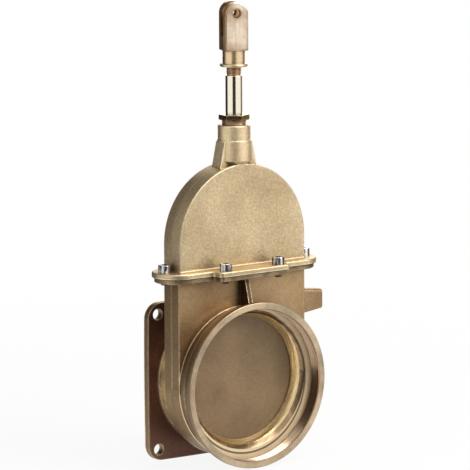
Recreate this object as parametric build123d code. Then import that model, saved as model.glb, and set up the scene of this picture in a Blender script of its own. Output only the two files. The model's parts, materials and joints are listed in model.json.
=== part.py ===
from build123d import *
from math import radians, sin, sqrt, tan
import os

# Cast brass piston valve with a square rear flange and a threaded outlet.
# Millimetres. The origin is the centre of the square flange's rear face.
# +Y points out of that face, +Z runs up the stem, the outlet opens towards -Y.

# Port and gate
port_radius = 65.4
port_rise = 3.8
gate_overlap = 7.1
gate_half_thick = 9.0
gate_side_clearance = 0.5
gate_rim_clearance = 4.5
gate_edge_chamfer = 1.5
gate_lift = 147.5

# Gate housing
body_wall = 4.0
body_side_wall = 5.0
body_draft = 0.8
bonnet_wall = 5.5
bonnet_side_wall = 4.2
bonnet_draft = 2.5
housing_edge_round = 1.0

# Outlet socket with its pipe thread
socket_length = 26.8
thread_step = 15.3
thread_depth = 17.1
thread_lead_in = 1.3
rim_face_width = 6.0
rim_band = 4.0
rim_band_step = 1.6
rim_edge_round = 0.8
socket_root_step = 0.5
funnel_step = 8.8
funnel_mid_step = 4.6
funnel_mid_reach = 5.9
funnel_end_sink = 2.1

# Rear neck and square flange
rear_neck_length = 25.0
rear_neck_wall = 7.1
rear_neck_fillet = 3.0
square_flange_thick = 8.0
square_hole_radius = 6.0
square_hole_pitch = 145.0
square_edge_distance = 11.7
square_bow = 0.8
square_corner = 17.0
square_edge_round = 1.2

# Oval joint flanges between body and bonnet
joint_top = 124.4
bonnet_flange_thick = 5.4
gasket_thick = 1.0
body_flange_thick = 4.8
end_screw_gap = 8.4
end_screw_edge = 10.6
side_screw_gap = 15.8
side_screw_edge = 7.4
side_screw_x = 34.0
joint_side_reach = 10.4
bulge_past_screw = 10.5
bulge_slope = 1.5
bulge_round = 4.0
body_flange_inset = 2.6
gasket_inset = 1.2
bonnet_flange_round = 1.8
body_flange_round = 1.2
bonnet_foot_fillet = 2.0

# Joint screws, hexagon socket heads
screw_radius = 4.0
screw_head_radius = 6.5
screw_head_height = 8.0
screw_socket_flats = 6.0
screw_socket_depth = 4.0
screw_past_flange = 2.0
screw_edge_chamfer = 0.6
screw_hole_clearance = 0.5
screw_thread_clearance = 0.06

# Stem
rod_radius = 9.0
rod_fit_clearance = 0.06
rod_show = 41.2
rod_thread_step = 1.0
rod_thread_show = 9.0
rod_thread_clearance = 0.06
rod_thread_in_clevis = 11.0
rod_edge_chamfer = 0.8
rod_tail_step = 3.0
rod_tail_length = 24.0
gate_boss_wall = 6.0
gate_boss_height = 10.0
stem_pin_radius = 2.0
stem_pin_clearance = 0.03
stem_pin_sink = 0.6

# Bonnet neck with its stuffing box
neck_foot_rise = 2.7
neck_lower_height = 20.8
neck_upper_height = 16.3
neck_wall = 4.1
neck_shoulder_step = 0.8
neck_foot_step = 0.8
neck_foot_undercut = 5.0
neck_rib_half_thick = 7.5
neck_rib_top_reach = 0.6
neck_rib_foot_reach = 6.8
neck_edge_chamfer = 1.0
neck_guide_clearance = 0.3
neck_pocket_clearance = 1.2
neck_pocket_margin = 3.0
packing_width = 4.1
packing_height = 12.3
packing_ring_count = 3
packing_clearance = 0.05

# Gland nut
gland_flats_step = 0.9
gland_head_thick = 5.6
gland_thread_show = 5.0
gland_thread_in_box = 10.0
gland_clearance = 0.1
gland_edge_chamfer = 0.8
gland_turn = -36.0

# Lock ring and clevis
lock_ring_thick = 3.4
lock_ring_width = 6.7
lock_ring_edge_round = 1.1
clevis_turn = -19.0
clevis_collar_wall = 3.8
clevis_collar_height = 13.8
clevis_side = 25.0
clevis_round_height = 38.4
clevis_eye_above_round = 0.8
clevis_slot_width = 9.5
clevis_slot_below_eye = 23.5
clevis_eye_radius = 4.5
clevis_edge_round = 1.6
clevis_foot_chamfer = 2.2

# Seals round the port
seal_inner_gap = 1.2
seal_width = 4.0
seal_recess = 2.2
seal_proud = 0.25

# Side lug and gusset
lug_reach = 30.4
lug_z = 75.6
lug_root_height = 28.6
lug_tip_height = 21.0
lug_half_thick = 6.5
lug_tip_half_thick = 5.2
lug_corner = 3.5
lug_tip_round = 1.5
gusset_thick = 5.2
gusset_top_reach = 8.5
gusset_top_drop = 4.0
gusset_foot_reach = 15.2
gusset_foot_above_rim = 3.0

# Sizes worked out from the ones above, across the gate
gate_radius = port_radius + gate_overlap
chamber_half_width = gate_radius + gate_rim_clearance
chamber_half_depth = gate_half_thick + gate_side_clearance
body_half_width = chamber_half_width + body_side_wall
body_half_depth = chamber_half_depth + body_wall
bonnet_half_width = chamber_half_width + bonnet_side_wall
bonnet_half_depth = chamber_half_depth + bonnet_wall

# Places along the port axis
body_mid_y = -(square_flange_thick + rear_neck_length + body_half_depth)
body_front_y = body_mid_y - body_half_depth
body_rear_y = body_mid_y + body_half_depth
rim_y = body_front_y - socket_length
thread_end_y = rim_y + thread_depth

# Radii of the outlet
thread_bore_radius = port_radius + thread_step
rim_inner_radius = thread_bore_radius + thread_lead_in
rim_radius = rim_inner_radius + rim_face_width
socket_root_radius = thread_bore_radius + socket_root_step

# Joint flange and its screws
bonnet_flange_bottom = joint_top - bonnet_flange_thick
body_top = bonnet_flange_bottom - gasket_thick
body_flange_bottom = body_top - body_flange_thick
end_screw_x = body_half_width + end_screw_gap
side_screw_y = bonnet_half_depth + side_screw_gap
joint_half_length = end_screw_x + end_screw_edge
joint_half_width = bonnet_half_depth + joint_side_reach
bulge_half_length = side_screw_x + bulge_past_screw
bulge_half_width = side_screw_y + side_screw_edge
screw_places = [
    (-end_screw_x, 0.0),
    (-side_screw_x, -side_screw_y),
    (side_screw_x, -side_screw_y),
    (end_screw_x, 0.0),
    (side_screw_x, side_screw_y),
    (-side_screw_x, side_screw_y),
]

# Radii of the stem and the stuffing box
rod_thread_radius = rod_radius - rod_thread_step
rod_tail_radius = rod_radius - rod_tail_step
gate_boss_radius = rod_tail_radius + gate_boss_wall
box_radius = rod_radius + packing_width
neck_radius = box_radius + neck_wall
neck_shoulder_radius = neck_radius + neck_shoulder_step
neck_foot_radius = neck_shoulder_radius + neck_foot_step
gland_flats = 2 * (box_radius + gland_flats_step)
clevis_collar_radius = rod_thread_radius + clevis_collar_wall
lock_ring_radius = rod_thread_radius + lock_ring_width

# Heights along the stem, from the gate up
boss_top = port_rise + gate_radius + gate_boss_height
stem_pin_z = boss_top - gate_boss_height / 2
arch_z = port_rise + gate_lift
crown_z = arch_z + bonnet_half_width
pocket_top = boss_top + gate_lift + neck_pocket_margin
neck_foot_z = crown_z + neck_foot_rise
neck_shoulder_z = neck_foot_z + neck_lower_height
neck_top = neck_shoulder_z + neck_upper_height
gland_foot = neck_top - gland_thread_in_box
box_bottom = gland_foot - packing_height
gland_seat = neck_top + gland_thread_show
gland_top = gland_seat + gland_head_thick
rod_shoulder = gland_top + rod_show
lock_ring_bottom = rod_shoulder + rod_thread_show
clevis_bottom = lock_ring_bottom + lock_ring_thick
clevis_block_bottom = clevis_bottom + clevis_collar_height
clevis_round_z = clevis_block_bottom + clevis_round_height
clevis_top = clevis_round_z + clevis_side / 2
eye_z = clevis_round_z + clevis_eye_above_round
rod_tip = clevis_bottom + rod_thread_in_clevis


def upright_plane(y):
    """Plane across the port axis at depth y, with its normal towards the outlet."""
    return Plane(origin=(0, y, 0), x_dir=(1, 0, 0), z_dir=(0, -1, 0))


def turned_about_port(points, centre_z=0.0):
    """Solid of revolution about the port axis from (radius, y) points."""
    profile = make_face(Polyline([(0, y, r) for r, y in points], close=True))
    return Pos(0, 0, centre_z) * revolve(profile, Axis.Y, 360)


def turned_about_stem(points):
    """Solid of revolution about the stem from (radius, z) points."""
    profile = make_face(Polyline([(r, 0, z) for r, z in points], close=True))
    return Pos(0, body_mid_y, 0) * revolve(profile, Axis.Z, 360)


def stem_cylinder(radius, low, high):
    """Plain cylinder on the stem axis between two heights."""
    return Pos(0, body_mid_y, (low + high) / 2) * Cylinder(radius, high - low)


def housing_outline(half_width, round_z, flat_z):
    """Half circle at round_z closed by straight sides that run to flat_z."""
    toward_round = 1 if round_z > flat_z else -1
    crest = round_z + toward_round * half_width
    sides = Curve() + [
        Polyline((half_width, round_z), (half_width, flat_z), (-half_width, flat_z), (-half_width, round_z)),
        ThreePointArc((-half_width, round_z), (0, crest), (half_width, round_z)),
    ]
    return make_face(sides)


def drafted_housing(half_width, round_z, flat_z, half_depth, draft):
    """Housing that is widest at its mid plane and tapers to two rounded faces."""
    narrowing = half_depth * tan(radians(draft))
    wide = upright_plane(body_mid_y) * housing_outline(half_width, round_z, flat_z)
    narrow = housing_outline(half_width - narrowing, round_z, flat_z)
    front = upright_plane(body_mid_y - half_depth) * narrow
    rear = upright_plane(body_mid_y + half_depth) * narrow
    housing = loft([wide, front]) + loft([wide, rear])
    ends = housing.faces().sort_by(Axis.Y)
    return fillet(ends[0].edges() + ends[-1].edges(), housing_edge_round)


def joint_outline(inset=0.0):
    """Oval of the joint flange with a wider, round-cornered middle for the side screws."""
    half_width = joint_half_width - inset
    bulge = bulge_half_width - inset
    wide = bulge_half_length - inset
    foot = wide + bulge_slope
    oval = SlotCenterToCenter(2 * (joint_half_length - joint_half_width), 2 * half_width)
    corners = [(foot, -half_width), (wide, -bulge), (-wide, -bulge), (-foot, -half_width)]
    corners += [(-x, -y) for x, y in corners]
    outline = oval + make_face(Polyline(corners, close=True))
    rounded = [v for v in outline.vertices() if abs(v.X) < foot + bulge_slope]
    return fillet(rounded, bulge_round)


def plate(outline, low, high):
    """Flat plate of an outline in plan between two heights."""
    return extrude(Pos(0, body_mid_y, low) * outline, high - low)


def holes_at_screws(radius, low, high):
    """Round holes for the joint screws between two heights."""
    holes = []
    for x, y in screw_places:
        hole = Pos(x, body_mid_y + y, (low + high) / 2) * Cylinder(radius, high - low)
        holes.append(hole)
    return holes


def square_flange_outline():
    """Square with slightly bowed sides and round corners."""
    a = square_hole_pitch / 2 + square_edge_distance
    b = a + square_bow
    sides = Curve() + [
        ThreePointArc((-a, -a), (0, -b), (a, -a)),
        ThreePointArc((a, -a), (b, 0), (a, a)),
        ThreePointArc((a, a), (0, b), (-a, a)),
        ThreePointArc((-a, a), (-b, 0), (-a, -a)),
    ]
    face = make_face(sides)
    return fillet(face.vertices(), square_corner)


def make_square_flange():
    """Rear flange with its four bolt holes."""
    slab = extrude(upright_plane(0) * square_flange_outline(), square_flange_thick)
    front_edges = slab.faces().sort_by(Axis.Y)[0].edges()
    slab = fillet(front_edges, square_edge_round)
    half_pitch = square_hole_pitch / 2
    for x in (-half_pitch, half_pitch):
        for z in (-half_pitch, half_pitch):
            drill = Cylinder(square_hole_radius, 4 * square_flange_thick)
            slab -= Pos(x, 0, z) * Rot(90, 0, 0) * drill
    return slab


def make_rear_neck():
    """Round neck that flares into the square flange."""
    r = port_radius + rear_neck_wall
    wide = r + rear_neck_fillet
    root_y = body_rear_y - body_wall / 2
    end_y = -square_flange_thick
    buried_y = end_y + square_flange_thick / 4
    flare_y = end_y - rear_neck_fillet
    bend = rear_neck_fillet * sin(radians(45))
    outline = Curve() + [
        Polyline((flare_y, r), (root_y, r), (root_y, 0), (buried_y, 0), (buried_y, wide), (end_y, wide)),
        ThreePointArc((end_y, wide), (flare_y + bend, wide - bend), (flare_y, r)),
    ]
    return revolve(Plane.YZ * make_face(outline), Axis.Y, 360)


def make_socket():
    """Outlet socket that flares to a plain rim band."""
    root_y = body_front_y + body_wall / 2
    band_y = rim_y + rim_band
    points = [
        (0, root_y),
        (socket_root_radius, root_y),
        (socket_root_radius, body_front_y),
        (rim_radius - rim_band_step, band_y),
        (rim_radius, band_y - rim_band_step / 2),
        (rim_radius, rim_y + rim_edge_round),
        (rim_radius - rim_edge_round, rim_y),
        (0, rim_y),
    ]
    return turned_about_port(points)


def outlet_bore():
    """Thread bore with its lead-in, concentric with the socket."""
    past_rim = rim_y - thread_lead_in
    points = [
        (0, past_rim),
        (rim_inner_radius + thread_lead_in, past_rim),
        (thread_bore_radius, rim_y + thread_lead_in),
        (thread_bore_radius, thread_end_y),
        (0, thread_end_y),
    ]
    return turned_about_port(points)


def throat_bore():
    """Funnel from the thread's end down to the port, raised by the port's rise."""
    start_radius = port_radius + funnel_step
    start_y = thread_end_y - funnel_end_sink
    points = [
        (0, start_y),
        (start_radius, start_y),
        (start_radius, thread_end_y),
        (port_radius + funnel_mid_step, body_front_y - funnel_mid_reach),
        (port_radius, body_front_y + funnel_end_sink),
        (port_radius, body_mid_y),
        (0, body_mid_y),
    ]
    return turned_about_port(points, port_rise)


def rear_bore():
    """Plain round port through the rear neck and the square flange."""
    points = [
        (0, body_mid_y),
        (port_radius, body_mid_y),
        (port_radius, square_flange_thick),
        (0, square_flange_thick),
    ]
    return turned_about_port(points, port_rise)


def seal_ring(y, length):
    """Flat ring round the port that starts at y and runs towards the outlet."""
    inner = port_radius + seal_inner_gap
    ring = Circle(inner + seal_width) - Circle(inner)
    return extrude(upright_plane(y) * Pos(0, port_rise) * ring, length)


def gate_chamber(round_z, flat_z):
    """Slot that the gate slides in, round at one end and open at the other."""
    outline = housing_outline(chamber_half_width, round_z, flat_z)
    start = upright_plane(body_mid_y + chamber_half_depth)
    return extrude(start * outline, 2 * chamber_half_depth)


def make_lug():
    """Tapered lug on the right side of the housing."""
    root_x = body_half_width - body_side_wall / 2
    length = body_half_width + lug_reach - root_x
    across = Plane(origin=(root_x, body_mid_y, lug_z), x_dir=(0, 1, 0), z_dir=(1, 0, 0))
    root = RectangleRounded(2 * lug_half_thick, lug_root_height, lug_corner)
    tip = RectangleRounded(2 * lug_tip_half_thick, lug_tip_height, lug_corner)
    lug = loft([across * root, across.offset(length) * tip])
    tip_edges = lug.faces().sort_by(Axis.X)[-1].edges()
    return fillet(tip_edges, lug_tip_round)


def make_gusset():
    """Web under the joint flange that runs down onto the outlet socket."""
    inside_y = body_front_y + body_wall / 2
    top_y = body_front_y - gusset_top_reach
    foot_y = body_front_y - gusset_foot_reach
    top_z = body_flange_bottom + body_flange_thick / 4
    buried_z = rim_inner_radius - gusset_foot_above_rim
    points = [
        (0, inside_y, top_z),
        (0, top_y, top_z),
        (0, top_y, body_flange_bottom - gusset_top_drop),
        (0, foot_y, rim_inner_radius + gusset_foot_above_rim),
        (0, foot_y, buried_z),
        (0, inside_y, buried_z),
    ]
    web = make_face(Polyline(points, close=True))
    return extrude(web, gusset_thick / 2, both=True, dir=(1, 0, 0))


def make_body_casting():
    """Lower casting: housing, outlet socket, rear neck and both flanges."""
    flat_z = body_top - body_flange_thick / 4
    body = drafted_housing(body_half_width, 0, flat_z, body_half_depth, body_draft)
    joint_plate = plate(joint_outline(body_flange_inset), body_flange_bottom, body_top)
    low_edges = joint_plate.faces().sort_by(Axis.Z)[0].edges()
    body += fillet(low_edges, body_flange_round)
    body += make_socket()
    body += make_rear_neck()
    body += make_square_flange()
    body += make_lug()
    body += make_gusset()
    body -= gate_chamber(port_rise, body_top + body_flange_thick)
    groove_depth = chamber_half_depth + seal_recess
    body -= seal_ring(body_mid_y + groove_depth, 2 * groove_depth)
    body -= outlet_bore()
    body -= throat_bore()
    body -= rear_bore()
    tapped_radius = screw_radius + screw_thread_clearance
    for hole in holes_at_screws(tapped_radius, body_flange_bottom - 1, body_top + 1):
        body -= hole
    return body


def make_neck():
    """Round neck on the bonnet's crown with a rib on each side."""
    undercut = 2 * neck_foot_undercut
    points = [
        (0, neck_foot_z - undercut),
        (neck_foot_radius - undercut, neck_foot_z - undercut),
        (neck_foot_radius, neck_foot_z),
        (neck_shoulder_radius, neck_shoulder_z),
        (neck_radius, neck_shoulder_z + neck_shoulder_step),
        (neck_radius, neck_top - neck_edge_chamfer),
        (neck_radius - neck_edge_chamfer, neck_top),
        (0, neck_top),
    ]
    top_x = neck_radius + neck_rib_top_reach
    foot_x = neck_radius + neck_rib_foot_reach
    top_z = neck_shoulder_z - neck_shoulder_step
    foot_z = arch_z + sqrt(bonnet_half_width ** 2 - foot_x ** 2) - bonnet_side_wall / 2
    corners = [(-foot_x, foot_z), (-top_x, top_z), (top_x, top_z), (foot_x, foot_z)]
    rib = make_face(Polyline([(x, 0, z) for x, z in corners], close=True))
    ribs = extrude(rib, neck_rib_half_thick, both=True, dir=(0, 1, 0))
    return turned_about_stem(points) + Pos(0, body_mid_y, 0) * ribs


def edges_at_wall_foot(bonnet):
    """Edges where the walls of the bonnet stand on its flange."""
    found = []
    for edge in bonnet.edges():
        box = edge.bounding_box()
        level = abs(box.min.Z - joint_top) < 0.01 and abs(box.max.Z - joint_top) < 0.01
        if level and max(abs(box.min.X), abs(box.max.X)) < bonnet_half_width + 0.1:
            if max(abs(box.min.Y - body_mid_y), abs(box.max.Y - body_mid_y)) < bonnet_half_depth + 0.1:
                found.append(edge)
    return found


def make_bonnet_casting():
    """Arched upper casting that takes the raised gate and the stuffing box."""
    flat_z = bonnet_flange_bottom + bonnet_flange_thick / 4
    bonnet = drafted_housing(bonnet_half_width, arch_z, flat_z, bonnet_half_depth, bonnet_draft)
    joint_plate = plate(joint_outline(), bonnet_flange_bottom, joint_top)
    top_edges = joint_plate.faces().sort_by(Axis.Z)[-1].edges()
    bonnet += fillet(top_edges, bonnet_flange_round)
    bonnet = fillet(edges_at_wall_foot(bonnet), bonnet_foot_fillet)
    bonnet += make_neck()
    bonnet -= gate_chamber(arch_z, bonnet_flange_bottom - bonnet_flange_thick)
    inside_crown = crown_z - 2 * bonnet_side_wall
    bonnet -= stem_cylinder(gate_boss_radius + neck_pocket_clearance, inside_crown, pocket_top)
    bonnet -= stem_cylinder(rod_radius + neck_guide_clearance, inside_crown, neck_top)
    bonnet -= stem_cylinder(box_radius, box_bottom, neck_top + 1)
    clear_radius = screw_radius + screw_hole_clearance
    for hole in holes_at_screws(clear_radius, bonnet_flange_bottom - 1, joint_top + 1):
        bonnet -= hole
    return bonnet


def make_gasket():
    """Flat gasket between the two joint flanges."""
    gasket = plate(joint_outline(gasket_inset), body_top, bonnet_flange_bottom)
    window = Rectangle(2 * chamber_half_width, 2 * chamber_half_depth)
    gasket -= plate(window, body_top - 1, bonnet_flange_bottom + 1)
    clear_radius = screw_radius + screw_hole_clearance
    for hole in holes_at_screws(clear_radius, body_top - 1, bonnet_flange_bottom + 1):
        gasket -= hole
    return gasket


def make_port_seal(side):
    """Rubber ring in its groove, side -1 at the outlet and 1 at the rear."""
    near = chamber_half_depth - seal_proud
    far = chamber_half_depth + seal_recess
    return seal_ring(body_mid_y + (far if side > 0 else -near), far - near)


def make_screw(x, y):
    """Socket head screw that stands on the bonnet's flange."""
    top = screw_head_height
    end = body_flange_bottom - screw_past_flange - joint_top
    points = [
        (0, end),
        (screw_radius - screw_edge_chamfer, end),
        (screw_radius, end + screw_edge_chamfer),
        (screw_radius, 0),
        (screw_head_radius, 0),
        (screw_head_radius, top - screw_edge_chamfer),
        (screw_head_radius - screw_edge_chamfer, top),
        (0, top),
    ]
    profile = make_face(Polyline([(r, 0, z) for r, z in points], close=True))
    screw = revolve(profile, Axis.Z, 360)
    socket = RegularPolygon(screw_socket_flats / 2, 6, major_radius=False)
    screw -= extrude(Pos(0, 0, top - screw_socket_depth) * socket, 2 * screw_socket_depth)
    return Pos(x, body_mid_y + y, joint_top) * screw


def make_gland_nut():
    """Gland nut: hexagon head, thread down into the stuffing box, bore for the rod."""
    head = RegularPolygon(gland_flats / 2, 6, major_radius=False)
    hexagon = extrude(Pos(0, body_mid_y, gland_seat) * Rot(0, 0, gland_turn) * head, gland_head_thick)
    bevel = gland_edge_chamfer
    corner = gland_flats / sqrt(3)
    beyond = corner + bevel / 4
    envelope = turned_about_stem([
        (0, gland_seat),
        (corner - bevel, gland_seat),
        (beyond, gland_seat + bevel),
        (beyond, gland_top - bevel),
        (corner - 2 * bevel, gland_top),
        (0, gland_top),
    ])
    nut = hexagon & envelope
    nut += stem_cylinder(box_radius - gland_clearance, gland_foot, gland_seat)
    return nut - stem_cylinder(rod_radius + rod_fit_clearance, gland_foot - 1, gland_top + 1)


def make_packing_ring(index):
    """One of the packing rings under the gland nut, counted from the bottom."""
    height = packing_height / packing_ring_count
    low = box_bottom + index * height
    ring = stem_cylinder(box_radius - packing_clearance, low, low + height)
    return ring - stem_cylinder(rod_radius + rod_fit_clearance, low - 1, low + height + 1)


def cross_hole(length):
    """Hole for the stem pin, across the boss."""
    drill = Cylinder(stem_pin_radius + stem_pin_clearance, length)
    return Pos(0, body_mid_y, stem_pin_z) * Rot(0, 90, 0) * drill


def make_gate_plate():
    """Round sliding gate with a boss for the stem on its top edge."""
    front = body_mid_y - gate_half_thick
    rear = body_mid_y + gate_half_thick
    points = [
        (0, front),
        (gate_radius - gate_edge_chamfer, front),
        (gate_radius, front + gate_edge_chamfer),
        (gate_radius, rear - gate_edge_chamfer),
        (gate_radius - gate_edge_chamfer, rear),
        (0, rear),
    ]
    gate = turned_about_port(points, port_rise)
    boss = stem_cylinder(gate_boss_radius, boss_top - 2 * gate_boss_height, boss_top)
    between_faces = Box(3 * gate_boss_radius, 2 * gate_half_thick, 6 * gate_boss_height)
    gate += boss & Pos(0, body_mid_y, boss_top) * between_faces
    tail_radius = rod_tail_radius + rod_thread_clearance
    gate -= stem_cylinder(tail_radius, boss_top - rod_tail_length - 1, boss_top + 1)
    return gate - cross_hole(3 * gate_boss_radius)


def make_stem_rod():
    """Polished rod with a tail in the gate and a thread for the clevis."""
    tail_end = boss_top - rod_tail_length
    points = [
        (0, tail_end),
        (rod_tail_radius, tail_end),
        (rod_tail_radius, boss_top),
        (rod_radius, boss_top),
        (rod_radius, rod_shoulder - rod_edge_chamfer),
        (rod_thread_radius, rod_shoulder),
        (rod_thread_radius, rod_tip - rod_edge_chamfer),
        (rod_thread_radius - rod_edge_chamfer, rod_tip),
        (0, rod_tip),
    ]
    return turned_about_stem(points) - cross_hole(4 * rod_radius)


def make_stem_pin():
    """Cross pin that holds the rod's tail in the gate's boss."""
    pin = Cylinder(stem_pin_radius, 2 * (gate_boss_radius - stem_pin_sink))
    return Pos(0, body_mid_y, stem_pin_z) * Rot(0, 90, 0) * pin


def make_lock_ring():
    """Round ring screwed up against the clevis."""
    hole = rod_thread_radius + rod_thread_clearance
    edge = lock_ring_edge_round
    points = [
        (hole, lock_ring_bottom),
        (lock_ring_radius - edge, lock_ring_bottom),
        (lock_ring_radius, lock_ring_bottom + edge),
        (lock_ring_radius, clevis_bottom - edge),
        (lock_ring_radius - edge, clevis_bottom),
        (hole, clevis_bottom),
    ]
    return turned_about_stem(points)


def make_clevis():
    """Fork end with a round collar, two ears and an eye for a pin."""
    half = clevis_side / 2
    corner = half * sqrt(2)
    above = clevis_top + half
    front = Plane(origin=(0, half, 0), x_dir=(1, 0, 0), z_dir=(0, -1, 0))
    block = extrude(front * housing_outline(half, clevis_round_z, clevis_block_bottom), clevis_side)
    block = fillet(block.edges().filter_by(Axis.Z), clevis_edge_round)
    turned = [
        (0, 0, clevis_block_bottom),
        (half + clevis_foot_chamfer / 2, 0, clevis_block_bottom),
        (corner, 0, clevis_block_bottom + clevis_foot_chamfer),
        (corner, 0, above),
        (0, 0, above),
    ]
    block &= revolve(make_face(Polyline(turned, close=True)), Axis.Z, 360)
    slot_low = eye_z - clevis_slot_below_eye
    slot = Box(2 * clevis_side, clevis_slot_width, above - slot_low)
    block -= Pos(0, 0, (above + slot_low) / 2) * slot
    block -= Pos(0, 0, eye_z) * Rot(90, 0, 0) * Cylinder(clevis_eye_radius, 2 * clevis_side)
    collar = Cylinder(clevis_collar_radius, clevis_collar_height)
    clevis = block + Pos(0, 0, (clevis_bottom + clevis_block_bottom) / 2) * collar
    thread_hole = Cylinder(rod_thread_radius + rod_thread_clearance, 2 * (rod_thread_in_clevis + 1))
    clevis -= Pos(0, 0, clevis_bottom) * thread_hole
    return Pos(0, body_mid_y, 0) * Rot(0, 0, clevis_turn) * clevis


def write_node(name, shape):
    """Write one sub-part to its own file."""
    solid = shape.solid() if len(shape.solids()) == 1 else shape
    solid.label = name
    export_step(solid, "parts/" + name + ".step")


def main():
    """Make every sub-part and write it."""
    os.makedirs("parts", exist_ok=True)
    write_node("body_casting", make_body_casting())
    write_node("bonnet_casting", make_bonnet_casting())
    write_node("joint_gasket", make_gasket())
    write_node("port_seal_front", make_port_seal(-1))
    write_node("port_seal_rear", make_port_seal(1))
    for number, (x, y) in enumerate(screw_places, start=1):
        write_node("joint_screw_" + str(number), make_screw(x, y))
    write_node("gland_nut", make_gland_nut())
    for index in range(packing_ring_count):
        write_node("packing_ring_" + str(index + 1), make_packing_ring(index))
    write_node("gate_plate", make_gate_plate())
    write_node("stem_rod", make_stem_rod())
    write_node("stem_pin", make_stem_pin())
    write_node("lock_ring", make_lock_ring())
    write_node("clevis", make_clevis())


main()
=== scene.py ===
import bpy
import json
from math import atan2, cos, degrees, hypot, pi, radians, sin, sqrt
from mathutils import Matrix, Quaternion, Vector

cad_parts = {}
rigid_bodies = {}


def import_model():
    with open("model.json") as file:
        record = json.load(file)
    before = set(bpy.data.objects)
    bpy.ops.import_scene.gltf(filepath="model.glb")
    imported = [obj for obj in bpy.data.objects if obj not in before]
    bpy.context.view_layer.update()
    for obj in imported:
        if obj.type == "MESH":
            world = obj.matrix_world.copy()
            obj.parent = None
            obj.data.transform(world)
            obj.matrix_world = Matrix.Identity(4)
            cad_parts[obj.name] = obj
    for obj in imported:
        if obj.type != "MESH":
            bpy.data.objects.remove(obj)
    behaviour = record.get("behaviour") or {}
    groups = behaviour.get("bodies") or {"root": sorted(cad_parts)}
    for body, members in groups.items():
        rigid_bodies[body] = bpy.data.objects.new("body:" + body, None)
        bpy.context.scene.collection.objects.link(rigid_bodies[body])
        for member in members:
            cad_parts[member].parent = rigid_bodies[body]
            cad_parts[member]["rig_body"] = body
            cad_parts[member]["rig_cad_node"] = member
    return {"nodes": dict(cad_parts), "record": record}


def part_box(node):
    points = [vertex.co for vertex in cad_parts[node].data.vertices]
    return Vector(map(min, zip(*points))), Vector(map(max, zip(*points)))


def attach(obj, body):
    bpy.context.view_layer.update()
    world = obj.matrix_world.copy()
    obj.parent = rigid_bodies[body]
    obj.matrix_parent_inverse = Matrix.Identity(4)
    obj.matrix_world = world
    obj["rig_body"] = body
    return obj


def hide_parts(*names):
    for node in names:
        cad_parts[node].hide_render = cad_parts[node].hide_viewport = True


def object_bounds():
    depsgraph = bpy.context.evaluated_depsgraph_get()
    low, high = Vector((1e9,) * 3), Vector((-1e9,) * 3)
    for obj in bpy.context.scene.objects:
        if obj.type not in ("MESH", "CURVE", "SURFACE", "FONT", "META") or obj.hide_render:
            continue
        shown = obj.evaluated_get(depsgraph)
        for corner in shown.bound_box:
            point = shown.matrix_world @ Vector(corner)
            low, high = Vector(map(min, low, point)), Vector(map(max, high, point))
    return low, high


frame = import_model()
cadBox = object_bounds()
nodes = frame["nodes"]
mounts = {mount["name"]: mount for mount in frame["record"]["mounts"]}
print("frame loaded:", len(nodes), "nodes")

# metres throughout; the outlet opens towards -Y and the stem runs up +Z
jointFlange = {"upperThick": 0.0054, "lowerThick": 0.0048}
midDepth = mounts["fork_eye"]["pos_m"][1]
rodLow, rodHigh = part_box("stem_rod")
gasketLow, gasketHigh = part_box("joint_gasket")
jointTop = gasketHigh.z + jointFlange["upperThick"]
bodyTop = gasketLow.z - jointFlange["lowerThick"]
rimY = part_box("body_casting")[0].y
portRise = mounts["rear_port"]["pos_m"][2]

# two points this close count as one, and so do two heights within the slack
hair = 0.00001
slack = 0.0001
# how far a cutting tool runs out of the metal
runOut = 0.001
farRunOut = 0.01


# camera

photoCamera = {
    "azimuth": -36.018,
    "elevation": 9.183,
    "roll": -0.304,
    "distance": 4.1186,
    "lens": 300.26,
    "farthest": 60,
    "aim": (0.000467, midDepth, 0.15483),
}


def wayTo(azimuth, elevation):
    turn, rise = radians(azimuth), radians(elevation)
    return Vector((sin(turn) * cos(rise), -cos(turn) * cos(rise), sin(rise)))


def placeCamera():
    back = wayTo(photoCamera["azimuth"], photoCamera["elevation"])
    bpy.ops.object.camera_add(location=Vector(photoCamera["aim"]) + back * photoCamera["distance"])
    camera = bpy.context.active_object
    camera.name = "photoCamera"
    camera.data.lens = photoCamera["lens"]
    camera.data.clip_end = photoCamera["farthest"]
    camera.rotation_mode = "QUATERNION"
    roll = Quaternion((0, 0, 1), radians(photoCamera["roll"]))
    camera.rotation_quaternion = back.to_track_quat("Z", "Y") @ roll
    bpy.context.scene.camera = camera


placeCamera()
print("camera placed")


# small modelling helpers

def startPrimitive():
    if bpy.context.mode != "OBJECT":
        bpy.ops.object.mode_set(mode="OBJECT")
    bpy.ops.object.select_all(action="DESELECT")


def alone(piece):
    startPrimitive()
    piece.select_set(True)
    bpy.context.view_layer.objects.active = piece


def added():
    # the newest primitive, with its place put into its mesh
    piece = bpy.context.active_object
    alone(piece)
    bpy.ops.object.transform_apply(location=True, rotation=True, scale=True)
    return piece


def drum(radius, low, high, centre=(0, 0), sides=96, turn=0.0):
    # upright cylinder between two heights
    startPrimitive()
    bpy.ops.mesh.primitive_cylinder_add(
        vertices=sides, radius=radius, depth=high - low,
        location=(centre[0], centre[1], (low + high) / 2), rotation=(0, 0, turn))
    return added()


def crossBar(radius, length, height, sides):
    # cylinder along Y over the origin
    startPrimitive()
    bpy.ops.mesh.primitive_cylinder_add(
        vertices=sides, radius=radius, depth=length, location=(0, 0, height), rotation=(pi / 2, 0, 0))
    return added()


def hoop(radius, thick, centre, steps, sides):
    # round ring about an axis along Y
    startPrimitive()
    bpy.ops.mesh.primitive_torus_add(
        major_segments=steps, minor_segments=sides, major_radius=radius, minor_radius=thick,
        location=centre, rotation=(pi / 2, 0, 0))
    return added()


def block(low, high):
    startPrimitive()
    middle = (Vector(low) + Vector(high)) / 2
    bpy.ops.mesh.primitive_cube_add(size=1, location=middle, scale=Vector(high) - Vector(low))
    return added()


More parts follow.
